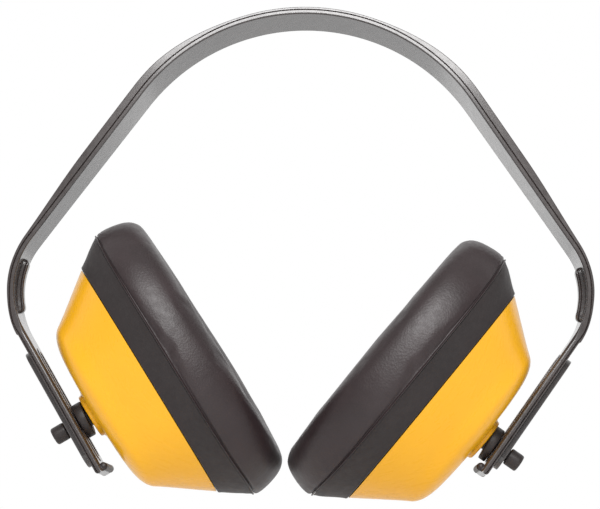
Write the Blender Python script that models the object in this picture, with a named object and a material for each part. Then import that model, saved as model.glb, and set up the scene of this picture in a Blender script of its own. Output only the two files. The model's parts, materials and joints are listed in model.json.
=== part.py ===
"""Earmuff hearing protector: a sprung headband with two oval ear cups.

The object is upright, as it is worn: +Z up, X from ear to ear, Y from front (-Y) to back.
The origin is the middle of the headband's inner face at the crown, where a head holds it up.
Both sides are the same parts. The left side is the right one turned half a turn about Z,
with its own arm lean, cup height and cup tilt.
"""
import math

import bmesh
import bpy
from mathutils import Matrix, Vector

MM = 0.001
GAP = 0.3 * MM

# Headband, measured along its inner face. Its two halves have taken a slightly different set.
CROWN_HALF_WIDTH = 10.0 * MM
ARM_HALF_WIDTH = 8.5 * MM
CROWN_RADIUS = 64.5 * MM
CROWN_ANGLE = {"left": math.radians(53.4), "right": math.radians(56.5)}
SHOULDER_LENGTH = {"left": 59.0 * MM, "right": 57.4 * MM}
BEND_RADIUS = {"left": 26.6 * MM, "right": 25.4 * MM}
ARM_LENGTH = 51.5 * MM
ARM_LEAN = {"left": math.radians(30.3), "right": math.radians(35.5)}

# Headband section: a thin plate with a raised rim along each edge of its outer face.
PLATE_THICKNESS = 1.4 * MM
ARM_THICKNESS = 2.4 * MM
RIM_WIDTH = 1.8 * MM
RIM_CROWN = 0.9 * MM
RIM_SHOULDER = 2.4 * MM
RIM_BEND = 0.9 * MM
RIM_ARM = 0.15 * MM
RIM_TAPER = 16.0 * MM

# The band is one springy moulding. It is parted here, where its flex is gathered in a hinge.
SPLIT_ANGLE = math.radians(38.0)
SPLIT_GAP = 0.4 * MM

# Stiffening rib inside each bend, and the lip at each arm's tip.
RIB_HEIGHT = 1.9 * MM
RIB_HALF_WIDTH = 1.7 * MM
RIB_LENGTH = 18.0 * MM
RIB_START = 6.2 * MM
LIP_HEIGHT = 1.9 * MM
LIP_LENGTH = 2.6 * MM

# Adjusting slot, with a low wall round it on both faces of the arm.
SLOT_START = 7.3 * MM
SLOT_END = 46.0 * MM
SLOT_HALF_WIDTH = 2.4 * MM
WALL_WIDTH = 1.6 * MM
WALL_OUTSIDE = 1.9 * MM
WALL_INSIDE = 0.6 * MM

# Pivot hardware, measured along the stud's axis from the arm's inner face.
PIVOT_ALONG_ARM = {"left": 33.5 * MM, "right": 41.9 * MM}
HEAD_RADIUS = 2.85 * MM
HEAD_OUTER = -9.3 * MM
HEAD_INNER = -4.6 * MM
PIN_RADIUS = 2.1 * MM
PIN_END = 1.9 * MM
COLLAR_RADIUS = 5.7 * MM
COLLAR_START = 0.9 * MM
COLLAR_END = 3.2 * MM
BALL_CENTRE = 6.9 * MM
BALL_RADIUS = 4.4 * MM
NECK_RADIUS = 2.4 * MM

# Ear cup, measured along its own axis from the ball's centre. Half lengths run along the
# arm, and half widths are less by one difference all the way up.
CUP_TILT = {"left": math.radians(1.7), "right": math.radians(4.2)}
CUP_YAW = {"left": math.radians(2.6), "right": math.radians(2.4)}
OVAL_DIFFERENCE = 10.5 * MM
OVAL_POWER = 2.3
BOSS_TOP = -3.1 * MM
BOSS_RADIUS = 7.6 * MM
FACE_DEPTH = -1.6 * MM
WALL = 2.2 * MM
SHELL_RIM = 18.9 * MM
SHELL_HALF_LENGTH = 41.5 * MM
SEAM_DEPTH = 28.3 * MM
SEAM_HALF_LENGTH = 48.0 * MM
SEAL_DEPTH = 43.3 * MM
SEAL_OUTER = 39.5 * MM
SEAL_INNER = 33.5 * MM
OPENING_HALF_LENGTH = 28.0 * MM
SKIN = 1.1 * MM
RETAINER_RADIUS = 8.0 * MM
RETAINER_TOP = 6.2 * MM

OVAL_POINTS = 32
ROUND_POINTS = 20
HALF_TURNS = {"left": math.pi, "right": 0.0}


def clear_scene():
    for old in list(bpy.data.objects):
        bpy.data.objects.remove(old, do_unlink=True)


def material(name, colour, roughness, metallic=0.0):
    made = bpy.data.materials.new(name)
    made.use_nodes = True
    shader = made.node_tree.nodes["Principled BSDF"]
    shader.inputs["Base Color"].default_value = (*colour, 1.0)
    shader.inputs["Roughness"].default_value = roughness
    shader.inputs["Metallic"].default_value = metallic
    return made


def loft(rings, capped=True):
    """Join rings of equal point counts into one closed mesh.

    With capped, the first and last rings get end faces; without it, the last ring joins
    the first one, which makes a tube bent round on itself.
    """
    made = bmesh.new()
    rows = [[made.verts.new(point) for point in ring] for ring in rings]
    pairs = list(zip(rows, rows[1:]))
    if not capped:
        pairs.append((rows[-1], rows[0]))
    count = len(rows[0])
    for row, following in pairs:
        for i in range(count):
            j = (i + 1) % count
            made.faces.new((row[i], row[j], following[j], following[i]))
    if capped:
        made.faces.new(list(reversed(rows[0])))
        made.faces.new(rows[-1])
    bmesh.ops.recalc_face_normals(made, faces=made.faces)
    return made


def add_object(name, made, finish, matrix, parent=None):
    """Turn a bmesh into a named object with one material, placed by its world matrix."""
    mesh = bpy.data.meshes.new(name)
    made.to_mesh(mesh)
    made.free()
    mesh.materials.append(finish)
    mesh.shade_smooth()
    mesh.set_sharp_from_angle(angle=math.radians(35.0))
    placed = bpy.data.objects.new(name, mesh)
    bpy.context.scene.collection.objects.link(placed)
    attach(placed, matrix, parent)
    return placed


def attach(placed, matrix, parent):
    placed.parent = parent
    if parent:
        bpy.context.view_layer.update()
        placed.matrix_parent_inverse = parent.matrix_world.inverted()
    placed.matrix_world = matrix


def add_joint(name, matrix, parent=None):
    """An empty on a joint's axis, which carries the pieces that the joint moves."""
    joint = bpy.data.objects.new(name, None)
    joint.empty_display_size = 10.0 * MM
    bpy.context.scene.collection.objects.link(joint)
    attach(joint, matrix, parent)
    bpy.context.view_layer.update()
    return joint


def boolean(target, tool, operation):
    cut = target.modifiers.new(operation.lower(), "BOOLEAN")
    cut.operation = operation
    cut.solver = "EXACT"
    cut.object = tool
    tool.hide_render = True
    tool.display_type = "WIRE"


# ---------------------------------------------------------------- headband

def crown_end(side):
    return CROWN_RADIUS * CROWN_ANGLE[side]


def shoulder_end(side):
    return crown_end(side) + SHOULDER_LENGTH[side]


def bend_end(side):
    turn = math.pi / 2 + ARM_LEAN[side] - CROWN_ANGLE[side]
    return shoulder_end(side) + BEND_RADIUS[side] * turn


def band_point(along, side):
    """A point on the inner face and its outward normal, on the +X half of the band."""
    crown = crown_end(side)
    if along < crown:
        angle = along / CROWN_RADIUS
        normal = Vector((math.sin(angle), 0.0, math.cos(angle)))
        return Vector((0.0, 0.0, -CROWN_RADIUS)) + normal * CROWN_RADIUS, normal
    point, normal = band_point(crown - 1e-9, side)
    forward = Vector((normal.z, 0.0, -normal.x))
    if along < shoulder_end(side):
        return point + forward * (along - crown), normal
    radius = BEND_RADIUS[side]
    centre = point + forward * SHOULDER_LENGTH[side] - normal * radius
    beyond = max(0.0, along - bend_end(side))
    angle = CROWN_ANGLE[side] + (along - beyond - shoulder_end(side)) / radius
    normal = Vector((math.sin(angle), 0.0, math.cos(angle)))
    forward = Vector((normal.z, 0.0, -normal.x))
    return centre + normal * radius + forward * beyond, normal


def smooth(value, low, high):
    t = min(1.0, max(0.0, (value - low) / (high - low)))
    return t * t * (3.0 - 2.0 * t)


def plate_height(along, side):
    start = bend_end(side) - 14.0 * MM
    return PLATE_THICKNESS + (ARM_THICKNESS - PLATE_THICKNESS) * smooth(along, start, bend_end(side))


def rim_height(along, side):
    crown = crown_end(side)
    rise = smooth(along, 0.35 * crown, 0.9 * crown)
    fall = smooth(along, crown + 0.45 * SHOULDER_LENGTH[side], shoulder_end(side) + 8.0 * MM)
    height = RIM_CROWN + (RIM_SHOULDER - RIM_CROWN) * rise + (RIM_BEND - RIM_SHOULDER) * fall
    taper = smooth(along, bend_end(side) - RIM_TAPER, bend_end(side))
    return height + (RIM_ARM - height) * taper


def half_width(along, side):
    narrowing = smooth(along, 0.8 * crown_end(side), shoulder_end(side))
    return CROWN_HALF_WIDTH + (ARM_HALF_WIDTH - CROWN_HALF_WIDTH) * narrowing


def band_section(along, side, mirror):
    """One closed eight-point section of the band, across its width."""
    point, normal = band_point(along, side)
    plate = plate_height(along, side)
    rim = plate + rim_height(along, side)
    edge = half_width(along, side)
    inner = edge - RIM_WIDTH
    outline = [(-edge, 0.0), (edge, 0.0), (edge, rim), (inner, rim),
               (inner, plate), (-inner, plate), (-inner, rim), (-edge, rim)]
    ring = [point + normal * height + Vector((0.0, y, 0.0)) for y, height in outline]
    return [Vector((p.x * mirror, p.y, p.z)) for p in ring]


def stations(start, end, step):
    count = max(1, round((end - start) / step))
    return [start + (end - start) * i / count for i in range(count + 1)]


def crown_mesh():
    half = CROWN_RADIUS * SPLIT_ANGLE - SPLIT_GAP / 2
    along = stations(0.0, half, 4.5 * MM)
    rings = [band_section(s, "left", -1.0) for s in reversed(along)]
    rings += [band_section(s, "right", 1.0) for s in along[1:]]
    return loft(rings)


def arm_mesh(side):
    """The half of the band from the split to the tip, on the +X side of the middle."""
    start = CROWN_RADIUS * SPLIT_ANGLE + SPLIT_GAP / 2
    crown = crown_end(side)
    shoulder = shoulder_end(side)
    bend = bend_end(side)
    along = stations(start, crown, 4.5 * MM)
    along += stations(crown, shoulder, 8.0 * MM)[1:]
    along += stations(shoulder, bend, 3.5 * MM)[1:]
    along += [bend + ARM_LENGTH]
    return loft([band_section(s, side, 1.0) for s in along])


def arm_frame(side, along=0.0):
    """Axes at the bend's end: X down the arm, Z inward from its inner face."""
    point, normal = band_point(bend_end(side) + along, side)
    down = Vector((normal.z, 0.0, -normal.x))
    frame = Matrix((down, Vector((0.0, -1.0, 0.0)), -normal)).transposed().to_4x4()
    frame.translation = point
    return frame


def rib_mesh(side):
    """The narrow rib inside the bend, rounded at both ends."""
    rings = []
    start = shoulder_end(side) + RIB_START
    root = 0.5 * MM
    soft = 0.4 * MM
    for share in (0.0, 0.02, 0.06, 0.12, 0.3, 0.5, 0.7, 0.88, 0.94, 0.98, 1.0):
        point, normal = band_point(start + RIB_LENGTH * share, side)
        end = min(1.0, min(share, 1.0 - share) * RIB_LENGTH / RIB_HEIGHT)
        height = RIB_HEIGHT * (0.5 + 0.5 * math.sqrt(1.0 - (1.0 - end) ** 2))
        half = RIB_HALF_WIDTH
        outline = [(-half, -root), (half, -root), (half, height - soft),
                   (half - soft, height), (soft - half, height), (-half, height - soft)]
        rings.append([point - normal * h + Vector((0.0, y, 0.0)) for y, h in outline])
    return loft(rings)


def lip_mesh():
    """The rounded lip that turns inward at the arm's tip, in the arm's frame."""
    rings = []
    for y in (-ARM_HALF_WIDTH, ARM_HALF_WIDTH):
        ring = [(ARM_LENGTH - LIP_LENGTH, -1.0 * MM), (ARM_LENGTH - 0.2 * MM, -1.0 * MM)]
        centre = ARM_LENGTH - LIP_LENGTH / 2
        radius = LIP_LENGTH / 2
        top = LIP_HEIGHT - radius
        for i in range(9):
            angle = math.pi * i / 8
            ring.append((centre + radius * math.cos(angle), top + radius * math.sin(angle)))
        rings.append([Vector((x, y, z)) for x, z in ring])
    return loft(rings)


def stadium(radius, z):
    """A ring with round ends along the slot, in the arm's frame."""
    ring = []
    turns = 8
    for centre, first in ((SLOT_END - SLOT_HALF_WIDTH, -90.0), (SLOT_START + SLOT_HALF_WIDTH, 90.0)):
        for i in range(turns + 1):
            angle = math.radians(first + 180.0 * i / turns)
            ring.append(Vector((centre + radius * math.cos(angle), radius * math.sin(angle), z)))
    return ring


def make_arm(side, turned, finish, crown):
    joint_matrix = turned @ Matrix.Translation(flex_point(side))
    joint = add_joint("flex_" + side, joint_matrix, crown)
    to_joint = Matrix.Translation(-flex_point(side))

    def piece(name, made, frame=Matrix()):
        made.transform(to_joint @ frame)
        return add_object(name, made, finish, joint_matrix, joint)

    arm = piece("headband_arm_" + side, arm_mesh(side))
    wall_outer = SLOT_HALF_WIDTH + WALL_WIDTH
    low = -ARM_THICKNESS - WALL_OUTSIDE
    wall = loft([stadium(wall_outer, low), stadium(wall_outer, WALL_INSIDE)])
    high = WALL_INSIDE + 1.0 * MM
    slot = loft([stadium(SLOT_HALF_WIDTH, low - 1.0 * MM), stadium(SLOT_HALF_WIDTH, high)])
    boolean(arm, piece("guide_rib_" + side, rib_mesh(side)), "UNION")
    boolean(arm, piece("guide_lip_" + side, lip_mesh(), arm_frame(side)), "UNION")
    boolean(arm, piece("guide_wall_" + side, wall, arm_frame(side)), "UNION")
    boolean(arm, piece("cutter_slot_" + side, slot, arm_frame(side)), "DIFFERENCE")
    return joint


def flex_point(side):
    """The hinge that gathers the band's flex, on its outer face at the split."""
    along = CROWN_RADIUS * SPLIT_ANGLE
    point, normal = band_point(along, side)
    return point + normal * (plate_height(along, side) + rim_height(along, side))


# ---------------------------------------------------------------- turned and oval pieces

def oval(half_length, depth, half_width=None):
    """A superellipse ring, long along X, at one depth along the cup's axis."""
    if half_width is None:
        half_width = half_length - OVAL_DIFFERENCE
    power = 2.0 / (2.0 if half_width == half_length else OVAL_POWER)
    ring = []
    for i in range(OVAL_POINTS):
        angle = 2.0 * math.pi * i / OVAL_POINTS
        cosine, sine = math.cos(angle), math.sin(angle)
        x = math.copysign(abs(cosine) ** power, cosine) * half_length
        y = math.copysign(abs(sine) ** power, sine) * half_width
        ring.append(Vector((x, y, depth)))
    return ring


def disc(radius, depth, points=ROUND_POINTS):
    ring = []
    for i in range(points):
        angle = 2.0 * math.pi * i / points
        ring.append(Vector((radius * math.cos(angle), radius * math.sin(angle), depth)))
    return ring


def ball_rings(radius, centre, low, high, count):
    """Rings of a ball between two heights above its centre."""
    rings = []
    for i in range(count + 1):
        height = low + (high - low) * i / count
        rings.append(disc(math.sqrt(radius ** 2 - height ** 2), centre + height))
    return rings


def pin_mesh():
    """The pin: a round head outside the arm and a shaft through its slot."""
    edge = 0.5 * MM
    rings = [disc(HEAD_RADIUS * 0.6, HEAD_OUTER), disc(HEAD_RADIUS - edge, HEAD_OUTER + 0.15 * MM)]
    rings += [disc(HEAD_RADIUS, HEAD_OUTER + edge), disc(HEAD_RADIUS, HEAD_INNER - 0.2 * MM)]
    rings += [disc(HEAD_RADIUS - 0.2 * MM, HEAD_INNER), disc(PIN_RADIUS, HEAD_INNER)]
    rings += [disc(PIN_RADIUS, PIN_END - 0.5 * MM), disc(PIN_RADIUS - edge, PIN_END)]
    return loft(rings)


def collar_mesh():
    """The collar: a spacer with a blind bore for the pin, a neck and the pivot ball."""
    bore = PIN_RADIUS + GAP
    bore_end = PIN_END + 0.4 * MM
    edge = 0.4 * MM
    rings = [disc(bore, bore_end), disc(bore, COLLAR_START), disc(COLLAR_RADIUS - edge, COLLAR_START)]
    rings += [disc(COLLAR_RADIUS, COLLAR_START + edge), disc(COLLAR_RADIUS, COLLAR_END - edge)]
    rings += [disc(COLLAR_RADIUS - 2 * edge, COLLAR_END), disc(NECK_RADIUS, COLLAR_END)]
    neck_top = -math.sqrt(BALL_RADIUS ** 2 - NECK_RADIUS ** 2)
    rings += ball_rings(BALL_RADIUS, BALL_CENTRE, neck_top, BALL_RADIUS * 0.93, 8)
    return loft(rings)


def shell_mesh():
    """The rigid oval cup: boss with a ball seat, domed outer face, sloping wall and rim."""
    seat = BALL_RADIUS + GAP
    inner_face = FACE_DEPTH + WALL
    boss = [(math.sqrt(seat ** 2 - BOSS_TOP ** 2), BOSS_TOP), (BOSS_RADIUS, BOSS_TOP),
            (BOSS_RADIUS + 0.8 * MM, FACE_DEPTH)]
    rings = [oval(radius, depth, radius) for radius, depth in boss]
    rings += [oval(18.0 * MM, FACE_DEPTH + 0.5 * MM, 12.0 * MM)]
    rings += [oval(26.6 * MM, FACE_DEPTH + 2.2 * MM), oval(29.6 * MM, FACE_DEPTH + 3.9 * MM)]
    rings += [oval(31.2 * MM, FACE_DEPTH + 6.2 * MM)]
    rings += [oval(SHELL_HALF_LENGTH, SHELL_RIM), oval(SHELL_HALF_LENGTH - WALL, SHELL_RIM)]
    rings += [oval(29.2 * MM, FACE_DEPTH + 7.0 * MM), oval(26.6 * MM, FACE_DEPTH + 4.8 * MM)]
    rings += [oval(17.5 * MM, inner_face + 0.6 * MM, 11.5 * MM)]
    rings += [oval(9.0 * MM, inner_face, 9.0 * MM)]
    for depth in (inner_face, -1.2 * MM):
        radius = math.sqrt(seat ** 2 - depth ** 2)
        rings.append(oval(radius, depth, radius))
    return loft(rings, capped=False)


def retainer_mesh():
    """The ring inside the cup that keeps the ball in its seat."""
    seat = BALL_RADIUS + GAP
    base = FACE_DEPTH + WALL + GAP
    rings = [disc(math.sqrt(seat ** 2 - base ** 2), base), disc(RETAINER_RADIUS, base)]
    rings += [disc(RETAINER_RADIUS, base + 2.0 * MM), disc(RETAINER_RADIUS - 1.6 * MM, RETAINER_TOP)]
    rings += [disc(2.0 * MM, RETAINER_TOP)]
    for height in (4.2 * MM, 3.2 * MM, 2.0 * MM):
        rings.append(disc(math.sqrt(seat ** 2 - height ** 2), height))
    return loft(rings, capped=False)


def acoustic_foam_mesh():
    """The dished foam slab that lines the bottom of the cup."""
    base = RETAINER_TOP + 0.5 * MM
    top = base + 7.5 * MM
    rings = [oval(29.4 * MM, base), oval(34.9 * MM, top), oval(31.0 * MM, top)]
    rings += [oval(26.0 * MM, base + 4.2 * MM), oval(20.0 * MM, base + 3.6 * MM)]
    return loft(rings)


def cushion_plate_mesh():
    """The rigid ring that the cushion's skin is fixed to, pressed into the shell's rim."""
    low = SHELL_RIM + GAP
    high = low + 1.8 * MM
    outer = SHELL_HALF_LENGTH - SKIN - 0.5 * MM
    inner = OPENING_HALF_LENGTH - 1.0 * MM
    rings = [oval(inner, low), oval(outer, low), oval(outer, high), oval(inner, high)]
    return loft(rings, capped=False)


def skirt_mesh():
    """The lower half of the cushion's skin, flaring from the shell's rim to the seam."""
    low = SHELL_RIM + GAP
    high = SEAM_DEPTH - GAP / 2
    rings = [oval(SHELL_HALF_LENGTH - SKIN, low), oval(SHELL_HALF_LENGTH, low)]
    rings += [oval(SEAM_HALF_LENGTH, high), oval(SEAM_HALF_LENGTH - SKIN, high)]
    return loft(rings, capped=False)


def cover_mesh():
    """The upper half of the skin: over the crest, across the seal face, into the opening."""
    low = SEAM_DEPTH + GAP / 2
    bottom = SHELL_RIM + 2.5 * MM
    opening = OPENING_HALF_LENGTH
    outer = [(SEAM_HALF_LENGTH, low), (SEAM_HALF_LENGTH + 0.1 * MM, low + 2.4 * MM),
             (SEAM_HALF_LENGTH - 1.2 * MM, SEAL_DEPTH - 5.0 * MM),
             (SEAM_HALF_LENGTH - 4.2 * MM, SEAL_DEPTH - 1.5 * MM),
             (SEAL_OUTER, SEAL_DEPTH), (SEAL_INNER, SEAL_DEPTH),
             (opening + 2.0 * MM, SEAL_DEPTH - 2.2 * MM), (opening + 0.5 * MM, SEAL_DEPTH - 6.0 * MM),
             (opening, bottom)]
    inner = [(opening + SKIN, bottom), (opening + SKIN + 0.5 * MM, SEAL_DEPTH - 6.4 * MM),
             (opening + SKIN + 1.7 * MM, SEAL_DEPTH - 3.2 * MM), (SEAL_INNER, SEAL_DEPTH - SKIN),
             (SEAL_OUTER, SEAL_DEPTH - SKIN), (SEAM_HALF_LENGTH - 4.9 * MM, SEAL_DEPTH - 2.5 * MM),
             (SEAM_HALF_LENGTH - 2.3 * MM, SEAL_DEPTH - 5.6 * MM),
             (SEAM_HALF_LENGTH + 0.1 * MM - SKIN, low + 2.4 * MM), (SEAM_HALF_LENGTH - SKIN, low)]
    return loft([oval(*point) for point in outer + inner], capped=False)


def cushion_foam_mesh():
    """The foam ring inside the cushion's skin."""
    low = SHELL_RIM + 2.5 * MM
    inner = OPENING_HALF_LENGTH + SKIN + 0.7 * MM
    profile = [(39.8 * MM, low), (46.0 * MM, SEAM_DEPTH - 0.6 * MM), (46.2 * MM, SEAM_DEPTH + 2.4 * MM),
               (44.8 * MM, SEAL_DEPTH - 5.9 * MM), (42.2 * MM, SEAL_DEPTH - 3.0 * MM),
               (SEAL_OUTER - 0.5 * MM, SEAL_DEPTH - 1.6 * MM), (SEAL_INNER + 0.5 * MM, SEAL_DEPTH - 1.6 * MM),
               (inner + 1.4 * MM, SEAL_DEPTH - 4.0 * MM), (inner, SEAL_DEPTH - 7.0 * MM), (inner, low)]
    return loft([oval(*point) for point in profile], capped=False)


# ---------------------------------------------------------------- assembly

def make_materials():
    return {
        "band": material("band_plastic", (0.030, 0.026, 0.025), 0.42),
        "pivot": material("pivot_plastic", (0.022, 0.019, 0.019), 0.45),
        "shell": material("shell_plastic", (0.92, 0.50, 0.035), 0.28),
        "retainer": material("retainer_plastic", (0.045, 0.043, 0.042), 0.50),
        "plate": material("plate_plastic", (0.040, 0.038, 0.037), 0.50),
        "skirt": material("skirt_pvc", (0.030, 0.026, 0.026), 0.60),
        "cover": material("cover_pvc", (0.036, 0.031, 0.031), 0.42),
        "foam": material("foam", (0.060, 0.058, 0.058), 0.95),
    }


def make_side(side, turn, finishes, crown):
    turned = Matrix.Rotation(turn, 4, "Z")
    flex = make_arm(side, turned, finishes["band"], crown)
    pivot = turned @ arm_frame(side, PIVOT_ALONG_ARM[side])
    slide = add_joint("slide_" + side, pivot, flex)
    add_object("adjuster_pin_" + side, pin_mesh(), finishes["pivot"], pivot, slide)
    swivel = add_joint("swivel_" + side, pivot, slide)
    add_object("pivot_collar_" + side, collar_mesh(), finishes["pivot"], pivot, swivel)
    ball = pivot @ Matrix.Translation((0.0, 0.0, BALL_CENTRE))
    ball = ball @ Matrix.Rotation(-CUP_TILT[side], 4, "Y") @ Matrix.Rotation(-CUP_YAW[side], 4, "X")
    tilt = add_joint("tilt_" + side, ball, swivel)
    for name, made, finish in (("cup_shell", shell_mesh, "shell"),
                               ("socket_retainer", retainer_mesh, "retainer"),
                               ("acoustic_foam", acoustic_foam_mesh, "foam"),
                               ("cushion_plate", cushion_plate_mesh, "plate"),
                               ("cushion_skirt", skirt_mesh, "skirt"),
                               ("cushion_foam", cushion_foam_mesh, "foam"),
                               ("cushion_cover", cover_mesh, "cover")):
        add_object(name + "_" + side, made(), finishes[finish], ball, tilt)


def main():
    clear_scene()
    finishes = make_materials()
    crown = add_object("headband_crown", crown_mesh(), finishes["band"], Matrix())
    for side, turn in HALF_TURNS.items():
        make_side(side, turn, finishes, crown)


main()
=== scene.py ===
import json
import math

import bmesh
import bpy
import numpy as np
from mathutils import Matrix, Vector, noise


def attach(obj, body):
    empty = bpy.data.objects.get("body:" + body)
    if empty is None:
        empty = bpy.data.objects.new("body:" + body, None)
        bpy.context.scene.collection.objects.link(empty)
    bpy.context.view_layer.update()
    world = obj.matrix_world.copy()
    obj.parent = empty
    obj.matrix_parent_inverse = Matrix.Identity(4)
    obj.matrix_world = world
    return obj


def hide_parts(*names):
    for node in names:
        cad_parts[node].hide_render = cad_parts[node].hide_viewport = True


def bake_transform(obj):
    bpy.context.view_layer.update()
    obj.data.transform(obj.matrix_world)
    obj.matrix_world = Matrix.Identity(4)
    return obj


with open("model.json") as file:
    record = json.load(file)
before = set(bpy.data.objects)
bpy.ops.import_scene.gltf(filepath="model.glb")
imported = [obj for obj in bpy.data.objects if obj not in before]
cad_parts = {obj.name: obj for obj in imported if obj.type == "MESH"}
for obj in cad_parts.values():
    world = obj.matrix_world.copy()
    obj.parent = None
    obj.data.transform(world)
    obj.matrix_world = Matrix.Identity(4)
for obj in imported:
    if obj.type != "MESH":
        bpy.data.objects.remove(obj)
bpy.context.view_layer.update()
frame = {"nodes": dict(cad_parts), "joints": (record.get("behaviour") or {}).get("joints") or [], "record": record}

MM = 0.001
SIDES = ("left", "right")
HALF_TURN = {"left": Matrix.Rotation(math.pi, 4, "Z"), "right": Matrix()}

# The headband's measures. They are those of its CAD solids, but for a lower wall inside the slot.
CROWN_HALF_WIDTH = 10.0 * MM
ARM_HALF_WIDTH = 8.5 * MM
CROWN_RADIUS = 64.5 * MM
CROWN_ANGLE = {"left": math.radians(53.4), "right": math.radians(56.5)}
SHOULDER_LENGTH = {"left": 59.0 * MM, "right": 57.4 * MM}
BEND_RADIUS = {"left": 26.6 * MM, "right": 25.4 * MM}
ARM_LEAN = {"left": math.radians(30.3), "right": math.radians(35.5)}
ARM_LENGTH = 51.5 * MM
PLATE_THICKNESS = 1.4 * MM
ARM_THICKNESS = 2.4 * MM
RIM_WIDTH = 1.8 * MM
RIM_CROWN = 0.9 * MM
RIM_SHOULDER = 2.4 * MM
RIM_BEND = 0.9 * MM
RIM_STEP = 0.5 * MM
RIM_ARM = 0.15 * MM
RIM_TAPER = 16.0 * MM
RIB_HEIGHT = 1.9 * MM
RIB_HALF_WIDTH = 1.7 * MM
RIB_LENGTH = 18.0 * MM
RIB_START = 6.2 * MM
LIP_HEIGHT = 1.9 * MM
LIP_LENGTH = 2.6 * MM

# The slot down each arm and the wall round it, along the arm from the end of the bend.
SLOT_START = 7.3 * MM
SLOT_END = 46.0 * MM
SLOT_HALF_WIDTH = 2.4 * MM
WALL_WIDTH = 1.6 * MM
WALL_OUTSIDE = 1.9 * MM
WALL_INSIDE = 0.25 * MM
TIP_ROUND = 0.9 * MM

# The stretch meant to bend as an arm opens, along the band from the crown's middle; only its end points are found.
FLEX_START = 6.0 * MM
FLEX_END = 80.0 * MM

# The pivot's measures along its axis, from the arm's inner face.
HEAD_RADIUS = 2.85 * MM
HEAD_OUTER = -9.3 * MM
HEAD_INNER = -4.6 * MM
PIN_RADIUS = 2.1 * MM
PIN_END = 1.9 * MM
COLLAR_RADIUS = 5.85 * MM
COLLAR_START = 0.4 * MM
COLLAR_END = 3.55 * MM
TILT_ROOM = 0.75 * MM
BALL_RADIUS = 4.4 * MM

# The cup's measures along its axis, from the centre of its ball.
OVAL_DIFFERENCE = 10.5 * MM
OVAL_POWER = 2.3
SHELL_RIM = 18.9 * MM
SHELL_HALF_LENGTH = 41.5 * MM
SEAM_DEPTH = 28.3 * MM
SEAM_HALF_LENGTH = 48.0 * MM
SEAM_BOW = 1.4 * MM
END_SET = 0.6 * MM
SEAL_SKEW = {"left": 2.3 * MM, "right": 1.0 * MM}
FAR_SIDE = {"left": 1.0, "right": -1.0}
FOAM_BASE = 6.7 * MM

joints = {joint["name"]: joint for joint in frame["joints"]}
mounts = {mount["name"]: mount for mount in frame["record"]["mounts"]}


# ---------------------------------------------------------------- mesh helpers

def loft(name, rings, loop=False, caps=True):
    """A mesh through rings of equal length. A loop joins the last ring to the first."""
    count = len(rings[0])
    points = [tuple(point) for ring in rings for point in ring]
    faces = []
    spans = len(rings) if loop else len(rings) - 1
    for i in range(spans):
        low = i * count
        high = (i + 1) % len(rings) * count
        for j in range(count):
            k = (j + 1) % count
            faces.append((low + j, low + k, high + k, high + j))
    if caps and not loop:
        faces.append(tuple(reversed(range(count))))
        faces.append(tuple(range(len(points) - count, len(points))))
    mesh = bpy.data.meshes.new(name)
    mesh.from_pydata(points, [], faces)
    mesh.validate()
    return mesh


def place(name, mesh, matrix=Matrix(), crease=40.0):
    """A smooth-shaded object with its place in its mesh."""
    mesh.transform(matrix)
    fix_normals(mesh)
    mesh.shade_smooth()
    mesh.set_sharp_from_angle(angle=math.radians(crease))
    placed = bpy.data.objects.new(name, mesh)
    bpy.context.scene.collection.objects.link(placed)
    return placed


def fix_normals(mesh):
    """Turn every face outwards."""
    made = bmesh.new()
    made.from_mesh(mesh)
    bmesh.ops.recalc_face_normals(made, faces=made.faces)
    made.to_mesh(mesh)
    made.free()


def boolean(target, tool, operation):
    """Join or cut a piece with a tool, which is used up."""
    cut = target.modifiers.new(operation.lower(), "BOOLEAN")
    cut.operation = operation
    cut.solver = "EXACT"
    cut.object = tool
    apply_modifiers(target)
    bpy.data.objects.remove(tool)


def apply_modifiers(target):
    """Replace a piece's mesh with the one its modifiers make."""
    bpy.context.view_layer.update()
    graph = bpy.context.evaluated_depsgraph_get()
    mesh = bpy.data.meshes.new_from_object(target.evaluated_get(graph))
    target.modifiers.clear()
    old = target.data
    target.data = mesh
    bpy.data.meshes.remove(old)


def weigh_normals(target):
    """Shade flat faces flat, with the curve kept to the rounded edges."""
    modifier = target.modifiers.new("normals", "WEIGHTED_NORMAL")
    modifier.keep_sharp = True
    modifier.weight = 80


def smooth(value, low, high):
    """A share that eases from 0 at low to 1 at high."""
    t = min(1.0, max(0.0, (value - low) / (high - low)))
    return t * t * (3.0 - 2.0 * t)


def curve_through(knots, steps):
    """Points on a smooth curve through knots, which are tuples of equal length."""
    knots = [np.array(knot, float) for knot in knots]
    knots = [2 * knots[0] - knots[1]] + knots + [2 * knots[-1] - knots[-2]]
    made = []
    for a, b, c, d in zip(knots, knots[1:], knots[2:], knots[3:]):
        for i in range(steps):
            t = i / steps
            made.append(0.5 * (2 * b + (c - a) * t + (2 * a - 5 * b + 4 * c - d) * t ** 2
                               + (3 * b - a - 3 * c + d) * t ** 3))
    made.append(knots[-2])
    return made


def ellipse(half_length, half_width, depth, count=128, power=OVAL_POWER):
    """A closed ring, rounder than an ellipse at its corners where the power is over 2."""
    ring = []
    for i in range(count):
        angle = 2.0 * math.pi * i / count
        cosine = math.cos(angle)
        sine = math.sin(angle)
        x = math.copysign(abs(cosine) ** (2.0 / power), cosine) * half_length
        y = math.copysign(abs(sine) ** (2.0 / power), sine) * half_width
        ring.append(Vector((x, y, depth)))
    return even(ring)


def even(ring):
    """The same closed ring with its points spaced evenly along it."""
    points = np.array([tuple(point) for point in ring])
    closed = np.vstack([points, points[:1]])
    along = np.concatenate([[0.0], np.cumsum(np.linalg.norm(np.diff(closed, axis=0), axis=1))])
    wanted = np.linspace(0.0, along[-1], len(ring), endpoint=False)
    return [Vector([np.interp(s, along, closed[:, axis]) for axis in range(3)]) for s in wanted]


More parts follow.
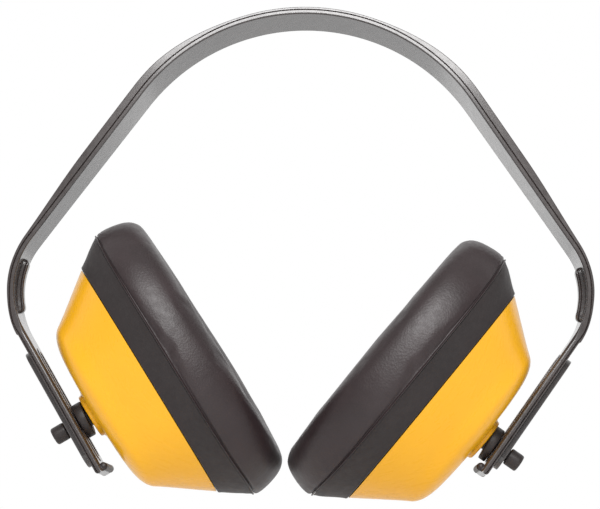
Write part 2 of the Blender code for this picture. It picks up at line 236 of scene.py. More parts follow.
def oval(half_length, depth, count=128):
    """A ring of the cup's own oval."""
    return ellipse(half_length, half_length - OVAL_DIFFERENCE, depth, count)


def disc(radius, depth, count=48):
    """A round ring about the Z axis."""
    turn = 2.0 * math.pi / count
    return [Vector((radius * math.cos(turn * i), radius * math.sin(turn * i), depth)) for i in range(count)]


# ---------------------------------------------------------------- frames

def cup_frame(side):
    """The cup's own axes: X down its length, Z along its axis towards the ear."""
    ball = Vector(joints["tilt_" + side]["pos_m"])
    axis = Vector(mounts["seal_" + side]["axis"]).normalized()
    reach = Vector(mounts["seal_" + side]["pos_m"]) - ball
    down = (axis * reach.dot(axis) - reach).normalized()
    turned = Matrix((down, axis.cross(down), axis)).transposed().to_4x4()
    turned.translation = ball
    return turned


def seal_depth(side):
    """The seal face's height along the cup's axis, from the ball's centre."""
    reach = Vector(mounts["seal_" + side]["pos_m"]) - Vector(joints["tilt_" + side]["pos_m"])
    return reach.dot(Vector(mounts["seal_" + side]["axis"]).normalized())


def pivot_frame(side):
    """The arm's axes at its pivot: X down the arm, Z inward."""
    inward = Vector(joints["swivel_" + side]["axis"]).normalized()
    down = -Vector(joints["slide_" + side]["axis"]).normalized()
    turned = Matrix((down, inward.cross(down), inward)).transposed().to_4x4()
    turned.translation = Vector(joints["swivel_" + side]["pos_m"])
    return turned


# ---------------------------------------------------------------- materials

RANGE_SOCKETS = ("From Min", "From Max", "To Min", "To Max")


class Nodes:
    """A material's node tree, built one node at a time around its Principled shader."""

    def __init__(self, name, color, roughness):
        self.material = bpy.data.materials.new(name)
        self.material.use_nodes = True
        self.tree = self.material.node_tree
        self.shader = self.tree.nodes["Principled BSDF"]
        self.shader.inputs["Base Color"].default_value = (*color, 1.0)
        self.shader.inputs["Roughness"].default_value = roughness
        self.place = self.tree.nodes.new("ShaderNodeTexCoord").outputs["Object"]
        self.normal = None

    def put(self, kind, settings=(), **inputs):
        """Add a node. An input is a socket to link, or a number or colour to set."""
        node = self.tree.nodes.new(kind)
        for name, value in dict(settings).items():
            setattr(node, name, value)
        for name, value in inputs.items():
            socket = node.inputs[name.replace("_", " ")]
            if isinstance(value, bpy.types.NodeSocket):
                self.tree.links.new(value, socket)
            else:
                socket.default_value = value
        return node

    def grain(self, scale, detail=3.0, rough=0.55, stretch=None):
        """Noise in the object's own space."""
        where = self.place
        if stretch:
            where = self.put("ShaderNodeMapping", Vector=where, Scale=stretch).outputs["Vector"]
        return self.put("ShaderNodeTexNoise", Vector=where, Scale=scale, Detail=detail,
                        Roughness=rough).outputs["Fac"]

    def cells(self, scale):
        """Distance to the middle of each cell of a Voronoi pattern."""
        return self.put("ShaderNodeTexVoronoi", {"feature": "F1"}, Vector=self.place,
                        Scale=scale).outputs["Distance"]

    def ramp(self, value, low, high, low_color, high_color):
        """A colour between two, as a value goes from low to high."""
        node = self.put("ShaderNodeValToRGB", Fac=value)
        first, last = node.color_ramp.elements
        first.position = low
        last.position = high
        first.color = (*low_color, 1.0)
        last.color = (*high_color, 1.0)
        return node.outputs["Color"]

    def span(self, value, low, high, out_low, out_high):
        """A value moved from one range to another."""
        node = self.put("ShaderNodeMapRange", Value=value)
        for name, number in zip(RANGE_SOCKETS, (low, high, out_low, out_high)):
            node.inputs[name].default_value = number
        return node.outputs["Result"]

    def mix(self, share, a, b):
        """A colour that is a where the share is 0, and b where it is 1."""
        node = self.put("ShaderNodeMix", {"data_type": "RGBA"})
        factor_socket, a_socket, b_socket, color_result = 0, 6, 7, 2
        for index, value in ((factor_socket, share), (a_socket, a), (b_socket, b)):
            if isinstance(value, bpy.types.NodeSocket):
                self.tree.links.new(value, node.inputs[index])
            elif index:
                node.inputs[index].default_value = (*value, 1.0)
            else:
                node.inputs[index].default_value = value
        return node.outputs[color_result]

    def bump(self, height, distance, strength=1.0):
        """Add relief on top of any that is there."""
        node = self.put("ShaderNodeBump", Height=height, Distance=distance, Strength=strength)
        if self.normal:
            self.tree.links.new(self.normal, node.inputs["Normal"])
        self.normal = node.outputs["Normal"]

    def edges(self, low, high):
        """How far a point is on an outer edge, where wear shows first."""
        point = self.tree.nodes.new("ShaderNodeNewGeometry").outputs["Pointiness"]
        return self.span(point, low, high, 0.0, 1.0)

    def finish(self, color=None, roughness=None, **constants):
        """Link what was made to the shader, and set its constants."""
        for name, value in constants.items():
            self.shader.inputs[name.replace("_", " ")].default_value = value
        for socket, value in (("Base Color", color), ("Roughness", roughness), ("Normal", self.normal)):
            if value:
                self.tree.links.new(value, self.shader.inputs[socket])
        return self.material


def band_plastic():
    """Black moulded plastic with a gloss that shows at low angles."""
    made = Nodes("band_plastic", (0.030, 0.026, 0.025), 0.36)
    cloud = made.grain(60.0, 4.0)
    color = made.ramp(cloud, 0.35, 0.7, (0.020, 0.0135, 0.0125), (0.032, 0.0225, 0.021))
    worn = made.edges(0.52, 0.60)
    color = made.mix(made.span(worn, 0.0, 1.0, 0.0, 0.25), color, (0.085, 0.068, 0.065))
    made.bump(made.grain(2600.0, 2.0), 0.00002, 0.12)
    made.bump(made.grain(260.0, 3.0, stretch=(1.0, 0.25, 1.0)), 0.00002, 0.3)
    rough = made.span(made.grain(420.0, 4.0), 0.3, 0.7, 0.24, 0.34)
    return made.finish(color, rough, Specular_IOR_Level=0.7, Coat_Weight=0.7, Coat_Roughness=0.12)


def pivot_plastic():
    """Duller black plastic with a fine spark-eroded grain."""
    made = Nodes("pivot_plastic", (0.022, 0.019, 0.019), 0.42)
    cloud = made.grain(180.0, 3.0)
    color = made.ramp(cloud, 0.35, 0.7, (0.014, 0.0095, 0.009), (0.024, 0.017, 0.016))
    worn = made.edges(0.52, 0.62)
    color = made.mix(made.span(worn, 0.0, 1.0, 0.0, 0.4), color, (0.07, 0.062, 0.06))
    made.bump(made.grain(3200.0, 2.0), 0.00003, 0.8)
    rough = made.span(made.grain(700.0, 3.0), 0.3, 0.7, 0.36, 0.50)
    return made.finish(color, rough, Specular_IOR_Level=0.45)


def shell_plastic():
    """Yellow moulded plastic with dust specks, paler edges and faint scuffs."""
    made = Nodes("shell_plastic", (0.93, 0.50, 0.020), 0.26)
    cloud = made.grain(24.0, 3.0)
    color = made.ramp(cloud, 0.3, 0.75, (0.83, 0.395, 0.006), (0.87, 0.430, 0.009))
    dust = made.span(made.grain(2200.0, 2.0), 0.70, 0.80, 0.0, 0.12)
    color = made.mix(dust, color, (0.62, 0.33, 0.03))
    worn = made.edges(0.55, 0.68)
    color = made.mix(made.span(worn, 0.0, 1.0, 0.0, 0.25), color, (0.97, 0.66, 0.16))
    made.bump(made.grain(420.0, 2.0), 0.00003, 0.15)
    made.bump(made.grain(60.0, 2.0), 0.0002, 0.08)
    scuffs = made.grain(160.0, 5.0, 0.7, stretch=(1.0, 5.0, 1.0))
    rough = made.span(scuffs, 0.42, 0.72, 0.27, 0.32)
    return made.finish(color, rough, Specular_IOR_Level=0.4, Coat_Weight=0.05, Coat_Roughness=0.15)


def soft_pvc(name, dark, light, rough_low, rough_high, grain_depth):
    """Soft PVC skin with a fine leather-like grain, and bright specks painted into its colour as glints of the
    grain.
    """
    made = Nodes(name, light, rough_low)
    cloud = made.grain(70.0, 4.0)
    color = made.ramp(cloud, 0.3, 0.72, dark, light)
    # Painted highlight: bright specks in the colour stand for glints off the grain.
    specks = made.span(made.grain(3600.0, 1.0), 0.66, 0.78, 0.0, 0.35)
    color = made.mix(specks, color, tuple(3.0 * c for c in light))
    made.bump(made.grain(110.0, 3.0), 0.00035, 0.30)
    made.bump(made.cells(1500.0), 0.00010, grain_depth)
    made.bump(made.grain(4200.0, 2.0), 0.00004, 0.6)
    rough = made.span(made.grain(520.0, 4.0), 0.3, 0.7, rough_low, rough_high)
    return made.finish(color, rough, Specular_IOR_Level=0.5, Sheen_Weight=0.05, Sheen_Roughness=0.4)


def foam_material():
    """Dark open-cell foam, with painted shade in its pores: each cell is darker towards its middle."""
    made = Nodes("open_cell_foam", (0.055, 0.052, 0.052), 0.95)
    cells = made.cells(900.0)
    small = made.cells(2400.0)
    # Painted shade: the colour darkens towards each cell's middle, where the pores sink in the bump.
    color = made.ramp(cells, 0.1, 0.55, (0.012, 0.011, 0.011), (0.075, 0.071, 0.070))
    made.bump(cells, 0.0006, 0.9)
    made.bump(small, 0.0003, 0.7)
    return made.finish(color, None, Specular_IOR_Level=0.2)


def floor_material():
    """Pale paper, a little uneven."""
    made = Nodes("studio_paper", (0.82, 0.82, 0.82), 0.7)
    color = made.ramp(made.grain(3.0, 2.0), 0.3, 0.7, (0.82, 0.82, 0.82), (0.86, 0.86, 0.86))
    return made.finish(color)


# ---------------------------------------------------------------- headband

def crown_end(side):
    return CROWN_RADIUS * CROWN_ANGLE[side]


def shoulder_end(side):
    return crown_end(side) + SHOULDER_LENGTH[side]


def bend_end(side):
    turn = math.pi / 2 + ARM_LEAN[side] - CROWN_ANGLE[side]
    return shoulder_end(side) + BEND_RADIUS[side] * turn


def band_point(along, side):
    """A point on the band's inner face and its outward normal, on the +X half."""
    crown = crown_end(side)
    angle = min(along / CROWN_RADIUS, CROWN_ANGLE[side])
    normal = Vector((math.sin(angle), 0.0, math.cos(angle)))
    point = Vector((0.0, 0.0, -CROWN_RADIUS)) + normal * CROWN_RADIUS
    forward = Vector((normal.z, 0.0, -normal.x))
    if along <= shoulder_end(side):
        return point + forward * max(0.0, along - crown), normal
    radius = BEND_RADIUS[side]
    centre = point + forward * SHOULDER_LENGTH[side] - normal * radius
    beyond = max(0.0, along - bend_end(side))
    angle = CROWN_ANGLE[side] + (along - beyond - shoulder_end(side)) / radius
    normal = Vector((math.sin(angle), 0.0, math.cos(angle)))
    forward = Vector((normal.z, 0.0, -normal.x))
    return centre + normal * radius + forward * beyond, normal


def plate_height(along, side):
    """The plate's thickness, which grows in the bend."""
    thicker = smooth(along, bend_end(side) - 14.0 * MM, bend_end(side))
    return PLATE_THICKNESS + (ARM_THICKNESS - PLATE_THICKNESS) * thicker


def rim_height(along, side):
    """How far the two rims stand above the plate: most at the shoulders, least on the arms."""
    crown = crown_end(side)
    rise = smooth(along, 0.35 * crown, 0.9 * crown)
    fall = smooth(along, crown + 0.45 * SHOULDER_LENGTH[side], shoulder_end(side) + 8.0 * MM)
    height = RIM_CROWN + (RIM_SHOULDER - RIM_CROWN) * rise + (RIM_BEND - RIM_SHOULDER) * fall
    end = bend_end(side)
    height += (RIM_STEP - height) * smooth(along, end - RIM_TAPER, end - 1.0 * MM)
    return height + (RIM_ARM - height) * smooth(along, end, end + 0.7 * MM)


def band_half_width(along, side):
    """Half the band's width, which narrows over the shoulder."""
    narrowing = smooth(along, 0.8 * crown_end(side), shoulder_end(side))
    return CROWN_HALF_WIDTH + (ARM_HALF_WIDTH - CROWN_HALF_WIDTH) * narrowing


def arc(centre_y, centre_h, radius, first, last, count=5):
    """Points of a section on an arc between two angles in degrees."""
    made = []
    for i in range(count):
        angle = math.radians(first + (last - first) * i / (count - 1))
        made.append((centre_y + radius * math.cos(angle), centre_h + radius * math.sin(angle)))
    return made


def band_half_section(along, side):
    """Half of the band's section: inner face, notch, rounded edge with its groove, rim, outer face."""
    plate = plate_height(along, side)
    top = plate + rim_height(along, side)
    edge = band_half_width(along, side)
    rim = edge - RIM_WIDTH
    arm = smooth(along, bend_end(side) - 4.0 * MM, bend_end(side) + 1.0 * MM)
    soft = (0.40 + 0.75 * arm) * MM
    high = min(0.3 * MM, 0.4 * (top - plate))
    groove = (0.42 + 0.1 * arm) * MM
    line = plate - 0.42 * MM * arm
    lip = (0.22 + 0.13 * arm) * MM
    notch = (0.10 + 0.35 * arm) * MM
    points = [(0.0, 0.0), (0.55 * edge, 0.0), (edge - 1.5 * MM, 0.0), (edge - soft - lip, 0.0)]
    points += [(edge - soft - 0.8 * lip, notch), (edge - soft - 0.2 * lip, notch), (edge - soft, 0.02 * MM)]
    points += arc(edge - soft, soft, soft, -80.0, 0.0, 7)
    points += [(edge, line - 0.24 * MM), (edge - 0.8 * groove, line - 0.14 * MM)]
    points += [(edge - groove, line), (edge - 0.8 * groove, line + 0.12 * MM)]
    points += [(edge - 0.05 * MM, min(line + 0.22 * MM, top - high - 0.02 * MM))]
    points += arc(edge - 0.05 * MM - high, top - high, high, 0.0, 90.0)
    points += arc(rim + high, top - high, high, 90.0, 180.0)
    points += [(rim, plate + 0.35 * high), (rim - 0.35 * high, plate), (0.5 * rim, plate), (0.0, plate)]
    return points


def band_ring(along, side):
    """The band's whole section at one place, squashed over the last stretch to round the tip."""
    half = band_half_section(along, side)
    outline = half + [(-y, h) for y, h in reversed(half[1:-1])]
    past = max(0.0, along - (bend_end(side) + ARM_LENGTH - TIP_ROUND))
    drop = TIP_ROUND - math.sqrt(max(0.0, TIP_ROUND ** 2 - past ** 2))
    top = plate_height(along, side) + rim_height(along, side)
    squash = (top - drop) / top
    point, normal = band_point(along, side)
    return [point + normal * h * squash + Vector((0.0, y, 0.0)) for y, h in outline]


def spaced(start, end, step):
    """Numbers from start to end, as near to a step apart as divides the stretch evenly."""
    count = max(1, round((end - start) / step))
    return [start + (end - start) * i / count for i in range(count + 1)]


def band_mesh(side):
    """One half of the band, from the crown's middle to the arm's tip."""
    crown = crown_end(side)
    shoulder = shoulder_end(side)
    bend = bend_end(side)
    tip = bend + ARM_LENGTH
    along = [0.0, 0.03 * MM] + spaced(0.0, crown, 1.2 * MM)[1:]
    along += spaced(crown, shoulder, 1.6 * MM)[1:]
    along += spaced(shoulder, bend, 1.0 * MM)[1:]
    along += [bend + 0.2 * MM, bend + 0.45 * MM, bend + 0.8 * MM]
    along += spaced(bend + 2.0 * MM, tip - TIP_ROUND, 4.0 * MM)
    along += [tip - 0.5 * MM, tip - 0.2 * MM, tip]
    return loft("headband_" + side, [band_ring(s, side) for s in along])


def arm_frame(side):
    """Axes at the bend's end on the +X half: X down the arm, Z inward from its inner face."""
    point, normal = band_point(bend_end(side), side)
    down = Vector((normal.z, 0.0, -normal.x))
    turned = Matrix((down, Vector((0.0, -1.0, 0.0)), -normal)).transposed().to_4x4()
    turned.translation = point
    return turned


def rib_mesh(side):
    """The rib inside the bend: a round-ended bar with a bead along its inner edge."""
    rings = []
    start = shoulder_end(side) + RIB_START
    steps = 34
    for i in range(steps + 1):
        share = 0.5 - 0.5 * math.cos(math.pi * i / steps)
        point, normal = band_point(start + RIB_LENGTH * share, side)
        near = min(1.0, min(share, 1.0 - share) * RIB_LENGTH / (1.1 * RIB_HEIGHT))
        round_off = math.sqrt(max(0.0, 1.0 - (1.0 - near) ** 2))
        height = RIB_HEIGHT * (0.25 + 0.75 * round_off)
        half = RIB_HALF_WIDTH * (0.35 + 0.65 * round_off)
        bead = min(0.55 * MM, 0.5 * height)
        web = half * 0.86
        web_low = height - 2.2 * bead
        web_high = height - 1.9 * bead
        outline = [(-half, -0.5 * MM), (half, -0.5 * MM), (half, 0.1 * MM), (web, web_low), (web, web_high)]
        outline += arc(half - bead, height - bead, bead, -20.0, 90.0, 6)
        outline += arc(bead - half, height - bead, bead, 90.0, 200.0, 6)
        outline += [(-web, web_high), (-web, web_low), (-half, 0.1 * MM)]
        rings.append([point - normal * h + Vector((0.0, y, 0.0)) for y, h in outline])
    return loft("rib", rings)


def lip_mesh(side):
    """The round bead that turns inward at the arm's tip, with rounded ends."""
    radius = LIP_LENGTH / 2
    centre = ARM_LENGTH - radius + 0.1 * MM
    steps = 8
    turns = [math.pi / 2 * i / steps for i in range(steps + 1)]
    rings = []
    for end, order in ((-1.0, turns), (1.0, reversed(turns))):
        for turn in order:
            shrink = max(0.12, math.sin(turn))
            y = end * (ARM_HALF_WIDTH - 0.6 * MM * math.sin(turn) ** 2)
            base = LIP_HEIGHT - radius - 0.15 * MM * (1.0 - shrink)
            ring = []
            for j in range(20):
                angle = 2.0 * math.pi * j / 20
                offset = Vector((math.cos(angle), 0.0, math.sin(angle))) * (radius * shrink)
                ring.append(Vector((centre, y, base)) + offset)
            rings.append(ring)
    return loft("lip", rings)


def stadium(radius, z, turns=20):
    """A round-ended ring along the slot, in the arm's frame."""
    ring = []
    for centre, first in ((SLOT_END - SLOT_HALF_WIDTH, -90.0), (SLOT_START + SLOT_HALF_WIDTH, 90.0)):
        for i in range(turns + 1):
            angle = math.radians(first + 180.0 * i / turns)
            ring.append(Vector((centre + radius * math.cos(angle), radius * math.sin(angle), z)))
    return ring


def wall_mesh():
    """The wall round the slot, with softened edges and a groove where it meets the arm's outside."""
    outer = SLOT_HALF_WIDTH + WALL_WIDTH
    low = -ARM_THICKNESS - WALL_OUTSIDE
    soft = 0.3 * MM
    foot = -ARM_THICKNESS - 0.5 * MM
    groove = outer - 0.55 * MM
    profile = [(outer - soft, low), (outer - 0.1 * MM, low + 0.1 * MM), (outer, low + soft)]
    profile += [(outer, foot), (groove, foot + 0.1 * MM)]
    profile += [(groove, -ARM_THICKNESS + 0.3 * MM), (outer, -ARM_THICKNESS + 0.4 * MM)]
    profile += [(outer, WALL_INSIDE - 0.25 * MM), (outer - 0.08 * MM, WALL_INSIDE - 0.08 * MM)]
    profile += [(outer - 0.25 * MM, WALL_INSIDE)]
    return loft("wall", [stadium(radius, z) for radius, z in profile])


def dull_tip(band, side, dull):
    """Give the lip the pivot's duller finish."""
    band.data.materials.append(dull)
    to_arm = arm_frame(side).inverted()
    for face in band.data.polygons:
        place_on_arm = to_arm @ face.center
        if place_on_arm.x > ARM_LENGTH - LIP_LENGTH and place_on_arm.z > 0.05 * MM:
            face.material_index = 1


def slot_mesh():
    """The cutter for the slot, which flares at both faces."""
    low = -ARM_THICKNESS - WALL_OUTSIDE - 1.0 * MM
    edge = SLOT_HALF_WIDTH + 0.2 * MM
    profile = [(edge + 1.0 * MM, low), (SLOT_HALF_WIDTH, low + 1.2 * MM)]
    profile += [(SLOT_HALF_WIDTH, WALL_INSIDE - 0.2 * MM), (edge + 0.8 * MM, WALL_INSIDE + 0.8 * MM)]
    return loft("slot", [stadium(radius, z) for radius, z in profile])


def make_band(side, finish, dull):
    """Half of the headband with its rib, lip and slotted arm. It finds where the arm's bending stretch would start
    and end, but does not use them.
    """
    turned = HALF_TURN[side]
    band = place("headband_" + side, band_mesh(side))
    boolean(band, place("rib", rib_mesh(side)), "UNION")
    boolean(band, place("lip", lip_mesh(side), arm_frame(side)), "UNION")
    boolean(band, place("wall", wall_mesh(), arm_frame(side)), "UNION")
    boolean(band, place("slot", slot_mesh(), arm_frame(side)), "DIFFERENCE")
    band.data.materials.clear()
    band.data.materials.append(finish)
    dull_tip(band, side, dull)
    band.data.transform(turned)
    band.data.shade_smooth()
    band.data.set_sharp_from_angle(angle=math.radians(38.0))
    weigh_normals(band)
    start = turned @ band_point(FLEX_START, side)[0]
    end = turned @ band_point(FLEX_END, side)[0]
    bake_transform(band)
    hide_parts("headband_arm_" + side, "headband_crown")


# ---------------------------------------------------------------- pivot

def make_pin(side, finish):
    """The pin, with a softly domed and chamfered head."""
    profile = [(0.05, HEAD_OUTER - 0.02 * MM), (0.45, HEAD_OUTER), (0.80, HEAD_OUTER + 0.12 * MM),
               (0.93, HEAD_OUTER + 0.32 * MM), (0.99, HEAD_OUTER + 0.65 * MM), (1.0, HEAD_OUTER + 1.2 * MM),
               (1.0, HEAD_INNER - 0.7 * MM), (0.985, HEAD_INNER - 0.3 * MM), (0.93, HEAD_INNER - 0.05 * MM),
               (0.88, HEAD_INNER)]
    rings = [disc(HEAD_RADIUS * share, depth) for share, depth in profile]
    rings += [disc(PIN_RADIUS, HEAD_INNER + 0.05 * MM), disc(PIN_RADIUS, PIN_END - 0.5 * MM)]
    rings += [disc(PIN_RADIUS - 0.5 * MM, PIN_END)]
    pin = place("pin_" + side, loft("pin", rings), pivot_frame(side))
    finish_piece(pin, finish, "slider_" + side, "pivot", "adjuster_pin_" + side)


def clear_tilt(ring, side):
    """Lower the collar's cup-side face on the side that the cup tips towards."""
    inward = Vector(joints["swivel_" + side]["axis"]).normalized()
    closing = Vector(joints["tilt_" + side]["axis"]).cross(inward).normalized()
    towards = pivot_frame(side).to_3x3().inverted() @ closing
    made = []
    for p in ring:
        share = 0.5 + 0.5 * p.dot(Vector((towards.x, towards.y, 0.0))) / COLLAR_RADIUS
        at_face = smooth(p.z, COLLAR_START + 1.2 * MM, COLLAR_END - 0.4 * MM)
        made.append(Vector((p.x, p.y, p.z - TILT_ROOM * share * at_face)))
    return made


def make_collar(side, finish):
    """The collar between arm and cup, bored for the pin, and the ball that it ends in."""
    bore = PIN_RADIUS + 0.3 * MM
    soft = 0.35 * MM
    edge = 0.1 * MM
    bottom = PIN_END + 0.4 * MM
    profile = [(bore * 0.2, bottom), (bore, bottom), (bore, COLLAR_START)]
    profile += [(COLLAR_RADIUS - soft, COLLAR_START), (COLLAR_RADIUS - edge, COLLAR_START + edge)]
    profile += [(COLLAR_RADIUS, COLLAR_START + soft), (COLLAR_RADIUS, COLLAR_END - soft)]
    profile += [(COLLAR_RADIUS - edge, COLLAR_END - edge), (COLLAR_RADIUS - soft, COLLAR_END)]
    rings = [disc(radius, depth) for radius, depth in profile]
    ball = Vector(joints["tilt_" + side]["pos_m"]) - Vector(joints["swivel_" + side]["pos_m"])
    centre = ball.length
    low = COLLAR_END + 0.05 * MM - centre
    high = 0.97 * BALL_RADIUS
    rings.append(disc(math.sqrt(BALL_RADIUS ** 2 - low ** 2), COLLAR_END))
    rings = [clear_tilt(ring, side) for ring in rings]
    steps = 14
    for i in range(steps + 1):
        height = low + (high - low) * i / steps
        rings.append(disc(math.sqrt(BALL_RADIUS ** 2 - height ** 2), centre + height))
    collar = place("collar_" + side, loft("collar", rings), pivot_frame(side))
    finish_piece(collar, finish, "collar_" + side, "pivot", "pivot_collar_" + side)


def finish_piece(piece, finish, body, slot, *nodes):
    """Give a piece its material and its body, and hide the CAD nodes it stands for. The slot is not used."""
    piece.data.materials.clear()
    piece.data.materials.append(finish)
    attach(piece, body)
    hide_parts(*nodes)


# ---------------------------------------------------------------- cup shell

def shell_rings():
    """Rings over the boss and the outer face, round the rim and back inside to the ball's seat."""
    seat = 4.7 * MM
    count = 128
    # Each point is a radius and a depth, or a half length, half width, depth and power.
    boss = [(3.55, -3.1), (6.5, -3.1), (6.95, -3.0), (7.2, -2.75), (7.3, -2.3), (7.45, -1.95),
            (7.8, -1.75), (8.4, -1.6)]
    rings = [disc(radius * MM, depth * MM, count) for radius, depth in boss]
    outer = [(9.2, 9.2, -1.42, 2.0), (13.0, 11.2, -1.35, 2.05), (18.0, 13.0, -1.1, 2.15),
             (23.0, 15.0, -0.5, 2.2), (26.6, 17.2, 0.6, 2.25), (29.0, 19.2, 2.2, 2.3),
             (30.7, 20.7, 4.5, 2.3), (32.8, 22.5, 7.4, 2.3), (37.0, 26.6, 13.0, 2.3),
             (41.1, 30.6, 18.5, 2.3)]
    for a, b, depth, power in curve_through(outer, 5):
        rings.append(ellipse(a * MM, b * MM, depth * MM, count, power))
    inner = [(41.35, 30.85, 18.85, 2.3), (41.0, 30.5, 19.0, 2.3), (39.6, 29.1, 18.9, 2.3),
             (39.2, 28.7, 18.5, 2.3), (35.0, 24.6, 12.8, 2.3), (30.2, 19.8, 7.2, 2.3),
             (26.6, 16.6, 4.8, 2.25), (17.5, 11.5, 1.3, 2.1), (9.0, 9.0, 0.6, 2.0)]
    rings += [ellipse(a * MM, b * MM, depth * MM, count, power) for a, b, depth, power in inner]
    for depth in (0.6 * MM, -1.2 * MM):
        rings.append(disc(math.sqrt(seat ** 2 - depth ** 2), depth, count))
    return rings


def make_shell(side, finish):
    """The rigid yellow cup."""
    shell = place("shell_" + side, loft("shell", shell_rings(), loop=True), cup_frame(side), 32.0)
    finish_piece(shell, finish, "cup_" + side, "shell", "cup_shell_" + side)


# ---------------------------------------------------------------- cushion

RING_COUNT = 176
WELD_RINGS = 7
SWELL_STEPS = 20
SWELL_LIMIT = 0.7 * MM
COVER_SEED = {"left": 1.7, "right": 8.3}
SKIRT_SEED = {"left": 4.4, "right": 11.9}


def bow(ring, amount):
    """Pull the long sides of a ring back towards the shell."""
    widest = max(abs(point.y) for point in ring)
    return [Vector((p.x, p.y, p.z - amount * smooth(abs(p.y) / widest, 0.25, 1.0))) for p in ring]


def cover_profile(seal):
    """Half length, depth and share of the seam's bow, from the weld to the ear opening's foot."""
    seam = SEAM_DEPTH / MM
    seal = seal / MM
    half = SEAM_HALF_LENGTH / MM
    weld = [(half - 1.2, seam - 0.2, 1.0), (half - 0.1, seam - 0.22, 1.0), (half + 0.28, seam - 0.2, 1.0),
            (half + 0.42, seam, 1.0), (half + 0.28, seam + 0.2, 1.0), (half - 0.1, seam + 0.28, 1.0)]
    side = [(half - 0.3, seam + 0.6, 0.95), (half + 0.1, seam + 2.2, 0.8), (half + 0.1, seam + 4.6, 0.6),
            (half - 0.3, seam + 7.6, 0.35), (half - 1.0, seam + 10.4, 0.15), (half - 2.0, seal - 2.5, 0.0),
            (half - 3.5, seal - 0.95, 0.0), (half - 5.4, seal - 0.05, 0.0), (half - 7.4, seal + 0.2, 0.0),
            (half - 9.6, seal, 0.0), (half - 12.4, seal - 0.5, 0.0), (half - 15.0, seal - 1.1, 0.0),
            (half - 16.9, seal - 2.4, 0.0), (half - 18.3, seal - 4.6, 0.0), (half - 19.1, seal - 7.6, 0.0),
            (half - 19.6, seal - 13.0, 0.0), (half - 19.9, 21.6, 0.0)]
    return weld + [tuple(point) for point in curve_through(side, 3)]


def skew(ring, side, seal):
    """Tip the seal face so that its far side stands out, and pull its lower end in a little."""
    tilt = SEAL_SKEW[side] * FAR_SIDE[side] / (SEAM_HALF_LENGTH - OVAL_DIFFERENCE)
    made = []
    for p in ring:
        height = smooth(p.z, SEAM_DEPTH + 1.0 * MM, seal - 1.0 * MM)
        low_end = smooth(p.x, 0.5 * SEAM_HALF_LENGTH, SEAM_HALF_LENGTH)
        rise = (p.y * tilt - END_SET * low_end) * height
        made.append(Vector((p.x - END_SET * low_end * height, p.y, p.z + rise)))
    return made


def cover_rings(side, seal):
    """Rings over the cover's outside, down into the ear opening and back to the weld."""
    profile = cover_profile(seal)
    rings = [bow(oval(r * MM, depth * MM, RING_COUNT), SEAM_BOW * share) for r, depth, share in profile]
    rings = [skew(ring, side, seal) for ring in rings]
    rings += [oval(33.0 * MM, 20.9 * MM, RING_COUNT), oval(39.5 * MM, 21.2 * MM, RING_COUNT),
              bow(oval(44.4 * MM, 25.0 * MM, RING_COUNT), 0.6 * SEAM_BOW)]
    return rings


def inflate(piece, pinned, cap):
    """Let air pressure swell a soft piece a little, with no point moving further than the cap."""
    rest = np.array([vertex.co for vertex in piece.data.vertices])
    group = piece.vertex_groups.new(name="pinned")
    group.add(pinned, 1.0, "REPLACE")
    cloth = piece.modifiers.new("cloth", "CLOTH")
    settings = cloth.settings
    settings.quality = 6
    settings.mass = 0.15
    settings.tension_stiffness = 12.0
    settings.compression_stiffness = 12.0
    settings.shear_stiffness = 4.0
    settings.bending_stiffness = 0.6
    settings.use_pressure = True
    settings.uniform_pressure_force = 4.0
    settings.effector_weights.gravity = 0.0
    settings.vertex_group_mass = "pinned"
    settings.shrink_min = -0.012
    for step in range(1, SWELL_STEPS + 1):
        bpy.context.scene.frame_set(step)
    graph = bpy.context.evaluated_depsgraph_get()
    swollen = piece.evaluated_get(graph).data
    moved = np.array([vertex.co for vertex in swollen.vertices]) - rest
    piece.modifiers.remove(cloth)
    piece.vertex_groups.remove(group)
    bpy.context.scene.frame_set(1)
    far = np.linalg.norm(moved, axis=1)
    moved *= np.minimum(1.0, cap / np.maximum(far, 1e-9))[:, None]
    piece.data.vertices.foreach_set("co", (rest + moved).ravel())
    piece.data.update()


def wrinkle(piece, to_cup, seam, seed):
    """Dents over the pad, and small creases that run out from the weld and fade."""
    normals = [vertex.normal.copy() for vertex in piece.data.vertices]
    for vertex, normal in zip(piece.data.vertices, normals):
        p = to_cup @ vertex.co
        turn = math.atan2(p.y, p.x)
        shift = Vector((seed, 0.0, 0.0))
        broad = noise.noise(p * 55.0 + shift) * 0.22 * MM
        height = (p.z - seam) / MM
        fade = math.exp(-max(0.0, height) / 3.2) * smooth(height, 0.2, 1.2)
        patch = smooth(noise.noise(Vector((turn * 2.2, seed, 3.0))), -0.05, 0.35)
        crease = noise.noise(Vector((turn * 38.0 + 0.12 * height, 0.1 * height, seed)))
        fine = noise.noise(Vector((turn * 90.0 - 0.3 * height, 0.2 * height, seed + 5.0)))
        small = (0.30 * crease + 0.10 * fine) * MM * fade * (0.25 + patch)
        vertex.co += normal * (broad * smooth(height, 0.5, 3.0) + small)
    piece.data.update()


def make_cover(side, finish):
    """The cushion's upper skin over its foam, swollen and creased, with the weld's thin ridge."""
    seal = seal_depth(side)
    mesh = loft("cover", cover_rings(side, seal), loop=True)
    cover = place("cover_" + side, mesh, cup_frame(side), 60.0)
    rows = len(cover_profile(seal))
    weld = list(range(0, WELD_RINGS * RING_COUNT))
    foot = list(range((rows - 4) * RING_COUNT, (rows + 3) * RING_COUNT))
    inflate(cover, weld + foot, SWELL_LIMIT)
    wrinkle(cover, cup_frame(side).inverted(), SEAM_DEPTH - 0.5 * SEAM_BOW, COVER_SEED[side])
    finish_piece(cover, finish, "cup_" + side, "cover", "cushion_cover_" + side, "cushion_foam_" + side)


